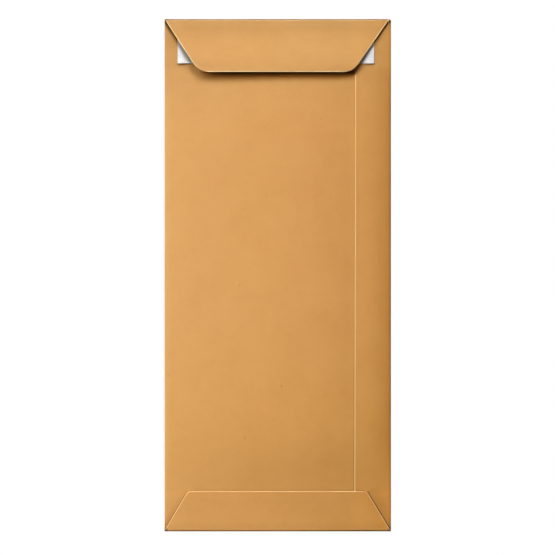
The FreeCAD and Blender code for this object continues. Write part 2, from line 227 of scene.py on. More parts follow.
ROWS = [TUBE_LOW, TUBE_LOW + 0.12, TUBE_LOW + 0.4, TUBE_LOW + 1.0, TUBE_LOW + 2.0,
        TUBE_LOW + 3.6]
y = TUBE_LOW + 5.8
while y < TUBE_HIGH - 5.0:
    ROWS.append(y)
    y += 2.05
ROWS += [TUBE_HIGH - 3.6, TUBE_HIGH - 2.0, TUBE_HIGH - 1.0, TUBE_HIGH - 0.4,
         TUBE_HIGH - 0.12, TUBE_HIGH]
NR = len(ROWS)

# back panel, from its hidden raw edge to the left fold
B_COLS = ([HIDDEN_X, HIDDEN_X - 0.12, HIDDEN_X - 0.4, 43.0, 41.0, 39.0, 37.0, 35.6,
           34.9, 34.55, 34.3, 34.0, 33.5, 32.8, 31.8, 30.4, 28.6, 26.6]
          + list(np.arange(24.4, -42.0, -2.2))
          + [-42.8, -44.4, -45.8, -47.0, -48.0, -48.8, -49.4, -49.8, -50.1])
# front panel, left to right, as shares of its width
F_MM = ([0.0, 0.10, 0.29, 0.48, 0.9, 1.6, 2.7, 4.0]
        + list(np.arange(6.0, 94.8, 2.02)))
F_W = CXR - CXL
F_COLS = [v / F_W for v in F_MM]
F_COLS += [1 - v for v in F_COLS[:8][::-1]]
NF = len(F_COLS)
# seam flap, from the right fold to its raw edge; the last ones as distances
# from that edge
S_COLS = [50.1, 49.7, 49.2, 48.6, 47.9, 47.1, 46.3, 45.5, 44.9, 44.4, 43.9, 43.2,
          42.2, 41.0, 39.6, 38.2]
S_NEAR = [2.3, 1.9, 1.6, 1.42, 1.28, 1.16, 1.04, 0.92, 0.80, 0.66, 0.5, 0.28, 0.10, 0.0]
ARC = 14


def reach_in(yv):
    """How much further the back runs into the end folds than the front."""
    return 0.48 * float(smooth(TUBE_HIGH - 4.0, TUBE_HIGH, yv)) - 0.18 * float(
        smooth(TUBE_LOW + 2.5, TUBE_LOW, yv))


def edge_rim(distance, reach=0.26):
    """1 on a cut edge, falling off to 0 a little way in."""
    return float(np.clip(1.0 - distance / reach, 0.0, 1.0))


def tube_row(j):
    yv = ROWS[j]
    keys_b, keys_l, keys_f, keys_r, keys_s = [], [], [], [], []
    end = min(yv - TUBE_LOW, TUBE_HIGH - yv)
    e = float(along(yv))
    al, ar = math.atan(e * SL0), math.atan(e * SR0)
    yb = yv + reach_in(yv)
    # back panel
    for i, xv in enumerate(B_COLS):
        z = float(body_height(xv, yb))
        k = ("b", i, j)
        sheet.station(k, (xv, yb, z), (xv, yb, z - T), (-W - (xv - XL), yb),
                      max(edge_rim(end), edge_rim(HIDDEN_X - xv)),
                      math.exp(-((xv - CXL) / 0.9) ** 2))
        keys_b.append(k)
    # left fold, from the back panel round to the front panel
    for i in range(ARC + 1):
        a = math.radians(90) + al + (math.radians(180) - al) * i / ARC
        k = ("f", 0, j) if i == ARC else ("l", i, j)
        co, si = math.cos(a), math.sin(a)
        blank_x = XL - RFL * (math.radians(270) - a) + 0.3
        if i < ARC:
            ya = yv + reach_in(yv) * (1 - i / ARC)
            sheet.station(k, (CXL + RFL * co, ya, RFL + RFL * si),
                          (CXL + (RFL - T) * co, ya, RFL + (RFL - T) * si),
                          (blank_x, yv), edge_rim(end), 1.0)
        keys_l.append(k)
    # front panel
    for i, c in enumerate(F_COLS):
        xv = CXL + c * F_W
        k = ("f", i, j)
        near = min(xv - CXL, CXR - xv)
        sheet.station(k, (xv, yv, 0.0), (xv, yv, T), (xv, yv), 0.0,
                      math.exp(-(near / 0.6) ** 2))
        keys_f.append(k)
    # right fold
    for i in range(ARC + 1):
        a = math.radians(-90) + (math.radians(180) - ar) * i / ARC
        k = ("f", NF - 1, j) if i == 0 else ("r", i, j)
        co, si = math.cos(a), math.sin(a)
        if i > 0:
            ya = yv + reach_in(yv) * i / ARC
            sheet.station(k, (CXR + RFR * co, ya, RFR + RFR * si),
                          (CXR + (RFR - T) * co, ya, RFR + (RFR - T) * si),
                          (XR + RFR * (a + math.radians(90)) - 0.3, yv),
                          edge_rim(end), 1.0)
        keys_r.append(k)
    # seam flap
    sx = float(seam_x(yv))
    cols = S_COLS + [sx + SEAM_BEVEL + v for v in S_NEAR]
    for i, xv in enumerate(cols):
        z = float(seam_flap_height(xv, yb))
        k = ("s", i, j)
        sheet.station(k, (xv, yb, z), (xv, yb, z - T), (W - xv, yb),
                      max(edge_rim(end), edge_rim(xv - sx - SEAM_BEVEL)),
                      math.exp(-((CXR - xv) / 0.9) ** 2))
        keys_s.append(k)
    return keys_b, keys_l, keys_f, keys_r, keys_s


rows = [tube_row(j) for j in range(NR)]
# the ring runs back panel -> left fold -> front panel -> right fold -> seam
# flap; rows run from the bottom up
ring = []
for b, l, f, r, s in rows:
    ring.append(b + l + f[1:] + r[1:] + s)
sheet.patch([row[::-1] for row in ring])

# ------------------------------------------------------------ the end flaps
# outline of an end flap: its two sides as functions of the distance from the
# fold line, with round corners at the free edge


def outline(depth, left, right, radius):
    """left and right are (x at the fold line, x at the sharp corner). Returns
    a function from distance to (x left, x right), and the rows it needs."""
    sides = []
    for (x0, x1), sign, r in ((left, -1, radius[0]), (right, 1, radius[1])):
        run = abs(x0 - x1)
        n = math.hypot(run, depth)
        ux, uy = run / n, depth / n            # along the slant, to the base
        turn = math.acos(ux)                   # from the free edge to the slant
        cut = r * math.tan(turn / 2)           # sharp corner to tangent point
        cx = x1 - sign * cut                   # arc's centre, across
        sides.append((x0, x1, sign, turn, cx, r))

    def at(d):
        out = []
        for x0, x1, sign, turn, cx, r in sides:
            over = r - (depth - d)             # above the arc's centre line
            lim = x0 + (x1 - x0) * d / depth
            if depth - d < r * (1 - math.cos(turn)):
                h = math.sqrt(max(r ** 2 - over ** 2, 0.0))
                lim = cx + sign * h
            out.append(lim)
        return out

    most = max(radius)
    zone = most * (1 - math.cos(max(s[3] for s in sides)))
    phi = np.linspace(0, math.acos(1 - zone / most), 15)[::-1]
    return at, [depth - most * (1 - math.cos(p)) for p in phi]


def end_flap(tag, base_row, up, depth, left, right, radius, fold_r, top, near_rows,
             blank_shift, reach, bevel, square):
    """Builds an end flap on the front panel's end row. up is +1 for the top
    end. fold_r(x) is the fold's outer radius, top(x, d) the height of the
    flap's upper face at distance d from the fold line."""
    depth -= bevel
    left, right = [v + bevel for v in left], [v - bevel for v in right]
    at, corner_rows = outline(depth, left, right, radius)
    near_rows = [depth - v for v in near_rows]
    y_line = YT if up > 0 else YB - 0.13
    keys_rows = [[("f", i, base_row) for i in range(NF)]]
    outs = {}
    # round the fold
    steps = 18
    xs0 = [CXL + c * F_W for c in F_COLS]
    x_left0, x_right0 = at(0.0)
    for s in range(steps + 1):
        a = math.pi * s / steps                # 0 below, pi on top
        row = []
        share = s / steps
        xl = CXL + (max(x_left0, XL + BEVEL) - CXL) * share
        xr = CXR + (min(x_right0, XR - BEVEL) - CXR) * share
        for i, c in enumerate(F_COLS):
            r = float(fold_r(xs0[i]))
            xv = xl + c * (xr - xl)
            bow = math.sin(a) ** (1.0 if a < math.pi / 2 else square)
            yo = y_line - up * r + up * r * bow
            yi = y_line - up * r + up * (r - T) * bow
            zo, zi = r - r * math.cos(a), r - (r - T) * math.cos(a)
            k = (tag, i, s)
            side = min(c, 1 - c) * F_W
            sheet.station(k, (xv, yo, zo), (xv, yi, zi),
                          (xv, y_line + up * (r * a - r)),
                          edge_rim(side, reach), 1.0)
            row.append(k)
        keys_rows.append(row)
    # the flat run
    start = 1.02 if up > 0 else 0.75       # past the end of the fold's curve
    ds = [start, 1.28, 1.65, 2.3, 3.1]
    d = 4.0
    while d < corner_rows[0] - 0.5:
        ds.append(d)
        d += 0.95
    ds += corner_rows[:-1] + [v for v in near_rows] + [depth]
    ds = sorted(set(round(v, 5) for v in ds))
    ds = [v for i, v in enumerate(ds) if i == 0 or v - ds[i - 1] > 0.004]
    for q, d in enumerate(ds):
        xl, xr = at(d)
        xl, xr = max(xl, XL + BEVEL), min(xr, XR - BEVEL)
        row = []
        for i, c in enumerate(F_COLS):
            # near the sides the columns keep their distance from the cut edge
            xv = xl + c * (xr - xl)
            yv = y_line - up * d
            z = float(top(xv, yv, d))
            k = (tag, i, steps + 1 + q)
            side = min(c, 1 - c) * F_W
            sheet.station(k, (xv, yv, z), (xv, yv, z - T),
                          (xv, y_line + up * (d + blank_shift)),
                          max(edge_rim(side, reach), edge_rim(depth - d, reach)),
                          math.exp(-(d / 0.9) ** 2))
            row.append(k)
        keys_rows.append(row)
    return keys_rows


# bottom flap: glued over the back, its right-hand slant standing off a little


def bottom_radius(x):
    return (under_bottom_flap(x, TUBE_LOW) + GLUE + T) / 2.0


BD = 17.97


def bottom_top(x, y, d):
    right = 39.95 + (50.75 - 39.95) * (1 - d / BD)
    left = -(40.4 + (51.04 - 40.4) * (1 - d / BD))
    lift = (0.20 * smooth(2.2, 0.0, right - x) * smooth(1.0, 5.0, d)
            + 0.05 * smooth(1.6, 0.0, x - left) * smooth(1.0, 5.0, d)
            + 0.02 * smooth(1.8, 0.0, BD - d))
    return under_bottom_flap(x, y) + GLUE + T + lift


bottom_keys = end_flap(
    "d", 0, -1, BD, (-51.04, -40.4), (50.75, 39.95), (2.8, 2.6),
    bottom_radius, bottom_top, [0.10, 0.28, 0.9, 1.8], 0.6, 0.28, BEVEL, 1.0)

# closing flap: folded over, not sealed, its free edge standing off the body
FD = 23.82


def flap_slope(d):
    """Slope of the closing flap along its depth."""
    return (0.004 + 0.142 * smooth(1.6, 10.5, d)) * (1 - 0.72 * smooth(16.5, FD + 0.6, d))


_fd = np.linspace(0, FD, 600)
_fz = np.concatenate([[0], np.cumsum((flap_slope(_fd)[1:] + flap_slope(_fd)[:-1]) / 2)
                      * (_fd[1] - _fd[0])])


def flap_top(x, y, d):
    rise = np.interp(d, _fd, _fz)
    tilt = 1.0 - 0.05 * np.asarray(x) / 50.0             # a little higher at left
    wave = (0.030 * np.sin(x / 13.0 + 0.5) + 0.022 * np.sin(x / 7.0 + d / 9.0 + 1.0))
    slant = -50.9 + (50.9 - 35.4) * d / FD
    side = 0.26 * smooth(9.0, 0.0, x - slant) * smooth(0.8, 6.0, d) * smooth(24.0, 14.0, d)
    return 2 * RT + rise * tilt + wave * smooth(3, 16, d) + side


top_keys = end_flap(
    "t", NR - 1, 1, FD, (-50.8, -35.28), (50.05, 33.65), (9.0, 8.0),
    lambda x: RT, flap_top, [0.10, 0.28, 0.45, 0.9, 1.8], 0.8, 0.52, 0.04, 0.55)

sheet.patch(bottom_keys)
sheet.patch([row[::-1] for row in top_keys])

# ------------------------------------------------------ the cut edge all round
# walk the blank's outline: up the back panel's hidden edge, and so on


def walk():
    loop, dirs = [], {}

    def put(k, d):
        if not loop or loop[-1] != k:
            loop.append(k)
            dirs[k] = dirs.get(k, np.zeros(3)) + np.array(d, float)

    n_b, n_s = len(B_COLS), len(S_COLS) + len(S_NEAR)
    # hidden edge of the back panel, from the throat down
    for j in range(NR - 1, -1, -1):
        put(("b", 0, j), (1, 0, 0))
    # lower end of the back panel and of the left fold
    for i in range(n_b):
        put(("b", i, 0), (0, -1, 0))
    for i in range(ARC):
        put(("l", i, 0), (0, -1, 0))
    # bottom flap: left side from the fold to the free edge, along it, and back
    left = [row[0] for row in bottom_keys]
    for k in left:
        put(k, (-1, 0.0, 0) if k[0] == "d" else (-0.7, -0.7, 0))
    for k in bottom_keys[-1]:
        put(k, (0, 1, 0))
    for row in bottom_keys[::-1]:
        k = row[-1]
        put(k, (1, 0.0, 0) if k[0] == "d" else (0.7, -0.7, 0))
    # lower end of the right fold and of the seam flap
    for i in range(1, ARC + 1):
        put(("r", i, 0), (0, -1, 0))
    for i in range(n_s):
        put(("s", i, 0), (0, -1, 0))
    # seam flap's raw edge, upwards
    for j in range(NR):
        put(("s", n_s - 1, j), (-1, 0, 0))
    # upper end of the seam flap and of the right fold
    for i in range(n_s - 1, -1, -1):
        put(("s", i, NR - 1), (0, 1, 0))
    for i in range(ARC, 0, -1):
        put(("r", i, NR - 1), (0, 1, 0))
    # closing flap: right side to the free edge, along it, and back
    for row in top_keys:
        k = row[-1]
        put(k, (1, 0, 0) if k[0] == "t" else (0.7, 0.7, 0))
    for k in top_keys[-1][::-1]:
        put(k, (0, -1, 0))
    for row in top_keys[::-1]:
        k = row[0]
        put(k, (-1, 0, 0) if k[0] == "t" else (-0.7, 0.7, 0))
    # upper end of the left fold and of the back panel
    for i in range(ARC - 1, -1, -1):
        put(("l", i, NR - 1), (0, 1, 0))
    for i in range(n_b - 1, -1, -1):
        put(("b", i, NR - 1), (0, 1, 0))
    if loop[0] == loop[-1]:
        loop.pop()
    return loop, dirs


loop, dirs = walk()


def outward(k):
    d = dirs[k]
    n = np.linalg.norm(d)
    out = {"t": 0.04, "s": SEAM_BEVEL}.get(k[0], BEVEL)
    return d / n * out if n > 0 else d


sheet.close(loop, outward)
envelope = mesh.build("kraft_sheet")
print("envelope:", len(mesh.co), "vertices", len(mesh.faces), "faces")


# ------------------------------------------- the adhesive strip and its liner
def strip(name, x0, x1, y0, y1, base, thick, curl, bevel, dx, dy):
    """A thin strip that follows the back. base and curl give the height of its
    underside over the back and how its ends and edges stand off."""
    m = Mesh()
    nx = max(int((x1 - x0) / dx), 8)
    ny = max(int((y1 - y0) / dy), 6)
    xs = sorted(set([x0, x0 + 0.05, x0 + 0.2, x0 + 0.5, x1 - 0.5, x1 - 0.2, x1 - 0.05, x1]
                    + list(np.linspace(x0 + 1.0, x1 - 1.0, nx))))
    ys = sorted(set([y0, y0 + 0.05, y0 + 0.2, y0 + 0.5, y1 - 0.5, y1 - 0.2, y1 - 0.05, y1]
                    + list(np.linspace(y0 + 0.9, y1 - 0.9, ny))))
    top, low = {}, {}
    for i, xv in enumerate(xs):
        for j, yv in enumerate(ys):
            d = min(xv - x0, x1 - xv, yv - y0, y1 - yv)
            z = float(np.maximum(body_height(xv, yv),
                                 under_bottom_flap(xv, yv))) + base + curl(xv, yv)
            drop = bevel * max(0.0, 1.0 - d / 0.12)
            top[i, j] = m.add((xv, yv, z + thick - drop), (xv, yv), edge_rim(d * 1.4), 0)
            low[i, j] = m.add((xv, yv, z), (xv, yv), edge_rim(d * 1.4), 0, 1.0)
    ni, nj = len(xs), len(ys)
    for i in range(ni - 1):
        for j in range(nj - 1):
            m.quad(top[i, j], top[i + 1, j], top[i + 1, j + 1], top[i, j + 1])
            m.quad(low[i, j + 1], low[i + 1, j + 1], low[i + 1, j], low[i, j])
    for i in range(ni - 1):
        m.quad(low[i, 0], low[i + 1, 0], top[i + 1, 0], top[i, 0])
        m.quad(top[i, nj - 1], top[i + 1, nj - 1], low[i + 1, nj - 1], low[i, nj - 1])
    for j in range(nj - 1):
        m.quad(low[0, j + 1], low[0, j], top[0, j], top[0, j + 1])
        m.quad(top[ni - 1, j + 1], top[ni - 1, j], low[ni - 1, j], low[ni - 1, j + 1])
    return m.build(name, 40.0)


LX0, LX1 = -44.9, 43.2
LY0, LY1 = YT - 19.9, YT - 19.9 + 12.7


def liner_curl(x, y):
    """The liner's ends and its lower edge have let go of the adhesive a bit,
    and it ripples slightly across."""
    bare = smooth(YT - 9.0, YT - 16.0, y)
    end = 0.46 * smooth(9.0, 0.0, x - LX0) + 0.42 * smooth(8.0, 0.0, LX1 - x)
    low = 0.12 * smooth(2.0, 0.0, y - LY0)
    ripple = 0.040 * np.sin(x / 0.95 + 0.9 * np.sin(y / 2.2)) * (
        0.2 + smooth(7.0, 1.0, x - LX0) + smooth(7.0, 1.0, LX1 - x))
    return float((end + low + ripple) * bare + 0.012)


adhesive = strip("seal_strip", LX0 + 1.0, LX1 - 1.0, LY0 + 1.0, LY1 - 1.0,
                 0.0, 0.04, lambda x, y: 0.004, 0.015, 0.6, 1.0)
liner = strip("liner_strip", LX0, LX1, LY0, LY1, 0.045, 0.08, liner_curl, 0.03, 0.55, 0.55)


# ------------------------------------------------------------------ materials
def nodes_of(name):
    mat = bpy.data.materials.new(name)
    mat.use_nodes = True
    nt = mat.node_tree
    return mat, nt, nt.nodes["Principled BSDF"]


def node(nt, kind, **values):
    n = nt.nodes.new(kind)
    for k, v in values.items():
        setattr(n, k, v)
    return n


def math_node(nt, op, a, b=None, clamp=False):
    n = node(nt, "ShaderNodeMath", operation=op, use_clamp=clamp)
    for i, v in enumerate((a, b)):
        if v is None:
            continue
        if isinstance(v, (int, float)):
            n.inputs[i].default_value = v
        else:
            nt.links.new(v, n.inputs[i])
    return n.outputs[0]


def attribute(nt, name, out="Fac"):
    n = node(nt, "ShaderNodeAttribute", attribute_name=name)
    return n.outputs[out]


def noise(nt, vector, size, detail=3.0, rough=0.5, stretch=None, offset=(0, 0, 0)):
    """Noise whose features are about size millimetres across; stretch scales
    the sheet's two directions."""
    m = node(nt, "ShaderNodeMapping")
    s = 1.0 / size
    sx, sy = stretch or (1.0, 1.0)
    m.inputs["Scale"].default_value = (s * sx, s * sy, s)
    m.inputs["Location"].default_value = offset
    nt.links.new(vector, m.inputs["Vector"])
    n = node(nt, "ShaderNodeTexNoise")
    n.inputs["Scale"].default_value = 1.0
    n.inputs["Detail"].default_value = detail
    n.inputs["Roughness"].default_value = rough
    nt.links.new(m.outputs[0], n.inputs["Vector"])
    return n.outputs["Fac"]


def ramp(nt, fac, stops):
    r = node(nt, "ShaderNodeValToRGB")
    el = r.color_ramp.elements
    while len(el) < len(stops):
        el.new(0.5)
    for e, (pos, colour) in zip(el, stops):
        e.position = pos
        e.color = (*colour, 1.0)
    nt.links.new(fac, r.inputs["Fac"])
    return r.outputs["Color"]


def scale_range(nt, value, lo, hi):
    """Maps 0..1 to lo..hi."""
    n = node(nt, "ShaderNodeMapRange")
    n.inputs["To Min"].default_value = lo
    n.inputs["To Max"].default_value = hi
    nt.links.new(value, n.inputs["Value"])
    return n.outputs["Result"]


def mix_colour(nt, fac, a, b, blend="MIX"):
    n = node(nt, "ShaderNodeMix", data_type="RGBA", blend_type=blend)
    for socket, v in ((n.inputs["Factor"], fac), (n.inputs["A"], a), (n.inputs["B"], b)):
        if isinstance(v, (int, float)):
            socket.default_value = v
        elif isinstance(v, tuple):
            socket.default_value = (*v, 1.0)
        else:
            nt.links.new(v, socket)
    return n.outputs["Result"]


def millimetres(nt):
    """The object's own coordinates in millimetres, whole and apart."""
    tex = node(nt, "ShaderNodeTexCoord")
    mm = node(nt, "ShaderNodeVectorMath", operation="SCALE")
    nt.links.new(tex.outputs["Object"], mm.inputs[0])
    mm.inputs["Scale"].default_value = 1000.0
    xyz = node(nt, "ShaderNodeSeparateXYZ")
    nt.links.new(mm.outputs[0], xyz.inputs[0])
    return mm.outputs[0], xyz.outputs["X"], xyz.outputs["Y"], xyz.outputs["Z"]


def span(nt, value, a, b, lo=0.0, hi=1.0, kind="SMOOTHSTEP"):
    """lo below a, hi above b, smooth in between."""
    n = node(nt, "ShaderNodeMapRange", interpolation_type=kind)
    for key, v in (("From Min", a), ("From Max", b), ("To Min", lo), ("To Max", hi)):
        n.inputs[key].default_value = v
    nt.links.new(value, n.inputs["Value"])
    return n.outputs["Result"]


def beside(nt, mm, a, b, side, start, end, width):
    """0..1 in a band along the line from a to b; the band lies to the left of
    it when side is +1. start and end are its strength at a and b."""
    n = math.hypot(b[0] - a[0], b[1] - a[1])
    u = ((b[0] - a[0]) / n, (b[1] - a[1]) / n)
    v = (-u[1] * side, u[0] * side)

    def axis(d):
        dot = node(nt, "ShaderNodeVectorMath", operation="DOT_PRODUCT")
        nt.links.new(mm, dot.inputs[0])
        dot.inputs[1].default_value = (d[0], d[1], 0.0)
        return math_node(nt, "SUBTRACT", dot.outputs["Value"], d[0] * a[0] + d[1] * a[1])

    across, way = axis(v), axis(u)
    shape = math_node(nt, "MULTIPLY", span(nt, across, -0.05, 0.03),
                      span(nt, across, 0.2 * width, width, 1.0, 0.0))
    extent = math_node(nt, "MULTIPLY", span(nt, way, -0.4, 0.0),
                       span(nt, way, n, n + 0.4, 1.0, 0.0))
    strength = span(nt, way, 0.0, n, start, end, "LINEAR")
    return math_node(nt, "MULTIPLY", math_node(nt, "MULTIPLY", shape, extent), strength)


def greatest(nt, values):
    total = values[0]
    for v in values[1:]:
        total = math_node(nt, "MAXIMUM", total, v)
    return total


def painted_contact_shade(nt, blank):
    """0..1 along the lines just outside the glued flaps, the liner and the closing flap's sides,
    and round the four corners: the mask of painted contact shade, where the sheet below lies in
    shade beside an edge."""
    mm, x, y, z = millimetres(nt)
    lines = [
        beside(nt, mm, (50.75, -114.9), (40.2, -97.3), -1, 1.00, 0.85, 0.85),
        beside(nt, mm, (50.75, -114.9), (40.2, -97.3), -1, 0.24, 0.10, 6.0),
        beside(nt, mm, (-51.04, -114.9), (-40.7, -97.3), 1, 0.85, 0.45, 0.60),
        beside(nt, mm, (-51.04, -114.9), (-40.7, -97.3), 1, 0.26, 0.05, 3.2),
        beside(nt, mm, (-39.0, -96.97), (38.6, -96.97), 1, 0.16, 0.24, 0.95),
        beside(nt, mm, (34.28, -97.0), (34.51, -11.0), 1, 0.36, 0.18, 0.66),
        beside(nt, mm, (34.51, -11.0), (34.66, 91.0), 1, 0.18, 0.12, 0.66),
        beside(nt, mm, (-50.8, 114.85), (-37.3, 94.1), -1, 0.95, 0.30, 1.70),
        beside(nt, mm, (50.05, 114.85), (35.0, 93.0), 1, 0.74, 0.50, 0.80),
        beside(nt, mm, (43.2, 94.5), (43.2, 101.2), -1, 0.66, 0.50, 0.50),
        beside(nt, mm, (-44.9, 94.95), (-37.0, 94.95), -1, 0.42, 0.30, 0.60),
        beside(nt, mm, (36.0, 94.95), (43.2, 94.95), -1, 0.36, 0.16, 0.60),
    ]
    # painted shade round the sheet's four corners
    for px, py, r in ((XL, YB + 0.3, 2.0), (XR, YB + 0.3, 2.0), (XL + 0.1, YT - 0.6, 2.1),
                      (XR - 0.3, YT - 0.7, 1.5)):
        n = node(nt, "ShaderNodeVectorMath", operation="DISTANCE")
        flat = node(nt, "ShaderNodeVectorMath", operation="MULTIPLY")
        nt.links.new(mm, flat.inputs[0])
        flat.inputs[1].default_value = (1.0, 1.0, 0.0)
        nt.links.new(flat.outputs[0], n.inputs[0])
        n.inputs[1].default_value = (px, py, 0.0)
        lines.append(span(nt, n.outputs["Value"], r * 0.3, r, 0.95, 0.0))
    total = greatest(nt, lines)
    # on the back's outer face only, and broken up a little
    upper = span(nt, z, 0.16, 0.24)
    outer = math_node(nt, "SUBTRACT", 1.0, attribute(nt, "inside"))
    below = math_node(nt, "MAXIMUM", span(nt, z, 1.60, 1.70, 1.0, 0.0),
                      math_node(nt, "LESS_THAN", y, 88.0))
    uneven = scale_range(nt, noise(nt, blank, 2.6, 2.0, 0.5, offset=(7.0, 1.0, 0)), 0.74, 1.12)
    total = math_node(nt, "MULTIPLY", math_node(nt, "MULTIPLY", total, upper),
                      math_node(nt, "MULTIPLY", outer, below))
    return math_node(nt, "MULTIPLY", total, uneven, True)


def painted_shading(nt, base):
    """Paints light and shade into the sheet's colour: darker and more orange towards the
    right-hand fold, painted shade under and just below the closing flap and on the top and
    bottom folds, and tints on the closing flap for how the light falls on it."""
    mm, x, y, z = millimetres(nt)
    back = span(nt, z, 0.12, 0.3)              # not on the front panel below
    # painted shading across the sheet: paler at the left, darker and more orange towards the
    # right-hand fold, darkest on its outer curve
    across = ramp(nt, span(nt, x, -51.0, 51.0, 0.0, 1.0, "LINEAR"),
                  [(0.0, (1.01, 1.06, 1.20)), (0.45, (1.04, 1.06, 1.12)),
                   (0.65, (1.025, 1.03, 1.065)), (0.80, (0.985, 0.975, 0.955)),
                   (0.865, (1.025, 1.005, 0.955)), (0.93, (1.00, 0.965, 0.86)),
                   (0.983, (1.04, 0.955, 0.74)), (0.991, (1.00, 0.82, 0.50)),
                   (0.997, (0.74, 0.64, 0.40))])
    base = mix_colour(nt, 1.0, base, across, "MULTIPLY")
    # painted shading along the sheet: darker towards both ends, with a painted highlight along
    # the bottom flap's top edge
    length = ramp(nt, span(nt, y, -115.0, 115.0, 0.0, 1.0, "LINEAR"),
                  [(0.003, (0.89, 0.87, 0.80)), (0.020, (0.98, 0.96, 0.89)),
                   (0.062, (0.99, 0.968, 0.892)), (0.0755, (1.035, 1.0, 0.93)),
                   (0.080, (0.985, 0.965, 0.885)), (0.20, (0.965, 0.955, 0.87)),
                   (0.42, (1.0, 1.0, 1.0)), (0.78, (1.0, 1.0, 1.0)),
                   (0.88, (0.91, 0.925, 0.96))])
    base = mix_colour(nt, back, base, length, "MULTIPLY")
    # painted light on the closing flap: darker at its left, lighter and bluer at its right
    fold = math_node(nt, "MULTIPLY", span(nt, y, 91.0, 95.0), back)
    flap = ramp(nt, span(nt, x, -51.0, 51.0, 0.0, 1.0, "LINEAR"),
                [(0.12, (0.94, 0.92, 0.89)), (0.5, (0.985, 1.0, 1.01)),
                 (0.88, (1.04, 1.09, 1.17))])
    base = mix_colour(nt, fold, base, flap, "MULTIPLY")
    # painted light near the top fold: lighter and bluer
    crown = math_node(nt, "MULTIPLY", span(nt, y, YT - 4.6, YT - 2.0), back)
    base = mix_colour(nt, crown, base, (1.05, 1.075, 1.14), "MULTIPLY")
    # painted shade on the top fold's outermost curve
    top = math_node(nt, "MULTIPLY", span(nt, y, YT - 0.68, YT - 0.12), back)
    base = mix_colour(nt, top, base, (0.25, 0.28, 0.36), "MULTIPLY")
    # painted shade on the bottom fold's outermost curve
    foot = math_node(nt, "MULTIPLY", span(nt, y, YB + 0.42, YB + 0.58, 1.0, 0.0), back)
    base = mix_colour(nt, foot, base, (0.62, 0.48, 0.24), "MULTIPLY")
    # painted shadow in a narrow band on the body where it passes under the closing flap's free
    # edge
    body = span(nt, z, 2.10, 2.40, 1.0, 0.0)
    width = math_node(nt, "MULTIPLY", span(nt, x, -36.5, -29.0),
                      span(nt, x, 31.0, 35.5, 1.0, 0.0))
    width = math_node(nt, "MULTIPLY", width, back)
    near = math_node(nt, "MULTIPLY", math_node(nt, "MULTIPLY", span(nt, y, 90.1, 90.9), body),
                     math_node(nt, "MULTIPLY", span(nt, y, 91.4, 92.2, 1.0, 0.0), width))
    base = mix_colour(nt, near, base, (0.52, 0.40, 0.20), "MULTIPLY")
    # painted shadow on the body for a few millimetres below the closing flap's free edge
    deep = math_node(nt, "MULTIPLY",
                     math_node(nt, "MULTIPLY", span(nt, y, 91.2, 91.6, 1.0, 0.0),
                               span(nt, y, 86.8, 90.6)), width)
    deep = math_node(nt, "MULTIPLY", deep, body)
    return mix_colour(nt, deep, base, (0.94, 0.80, 0.46), "MULTIPLY")


KRAFT = (0.748, 0.386, 0.1115)
KRAFT_DARK = (0.703, 0.351, 0.0945)
KRAFT_PALE = (0.778, 0.416, 0.1295)
KRAFT_EDGE = (0.970, 0.660, 0.290)

# kraft paper: cloudy formation, short fibres lying mostly along the sheet, a few dark fibre
# bundles, paler broken fibres on folds, and paler fibres on cut edges with a painted highlight
# laid over them
kraft, nt, bsdf = nodes_of("kraft_paper")
blank = attribute(nt, "blank", "Vector")
cloud = noise(nt, blank, 15.0, 4.0, 0.55)
patch = noise(nt, blank, 4.2, 3.0, 0.5, offset=(3.1, 7.7, 0))
grain = noise(nt, blank, 0.55, 3.0, 0.6, stretch=(1.0, 0.28), offset=(1.3, 2.1, 0))
cross = noise(nt, blank, 0.42, 2.0, 0.6, stretch=(0.4, 1.2), offset=(9.3, 4.1, 0))
tone = math_node(nt, "ADD",
                 math_node(nt, "MULTIPLY", cloud, 0.46),
                 math_node(nt, "ADD", math_node(nt, "MULTIPLY", patch, 0.22),
                           math_node(nt, "ADD", math_node(nt, "MULTIPLY", grain, 0.20),
                                     math_node(nt, "MULTIPLY", cross, 0.12))))
base = ramp(nt, tone, [(0.25, KRAFT_DARK), (0.52, KRAFT), (0.80, KRAFT_PALE)])
# dark fibre bundles
shives = noise(nt, blank, 1.1, 2.0, 0.5, stretch=(1.0, 0.22), offset=(5.5, 0.3, 0))
where = noise(nt, blank, 6.0, 1.0, 0.5, offset=(0.4, 11.0, 0))
dark = math_node(nt, "MULTIPLY",
                 math_node(nt, "MULTIPLY", math_node(nt, "SUBTRACT", shives, 0.70), 14.0, True),
                 math_node(nt, "MULTIPLY", math_node(nt, "SUBTRACT", where, 0.46), 9.0, True))
base = mix_colour(nt, math_node(nt, "MULTIPLY", dark, 0.35), base, (0.36, 0.165, 0.05))
# folds
crease = attribute(nt, "crease")
base = mix_colour(nt, math_node(nt, "MULTIPLY", crease, 0.10), base, KRAFT_EDGE)
base = painted_shading(nt, base)
# painted contact shade, nearly black, beside the flaps' and the liner's edges and at the corners
base = mix_colour(nt, painted_contact_shade(nt, blank), base, (0.075, 0.022, 0.002))
# cut edges: paler broken fibres, lightened further as a painted highlight
rim = attribute(nt, "rim")
edge_noise = noise(nt, blank, 0.8, 2.0, 0.5, offset=(2.2, 8.8, 0))
rim_amount = math_node(nt, "MULTIPLY", rim, scale_range(nt, edge_noise, 0.75, 1.55), True)
mm, x, y, z = millimetres(nt)
# the closing flap's free edge gets a brighter painted highlight
edge = mix_colour(nt, math_node(nt, "MULTIPLY", span(nt, y, 90.7, 90.9), span(nt, z, 1.65, 2.0)),
                  KRAFT_EDGE, (1.0, 0.80, 0.44))
base = mix_colour(nt, rim_amount, base, edge)
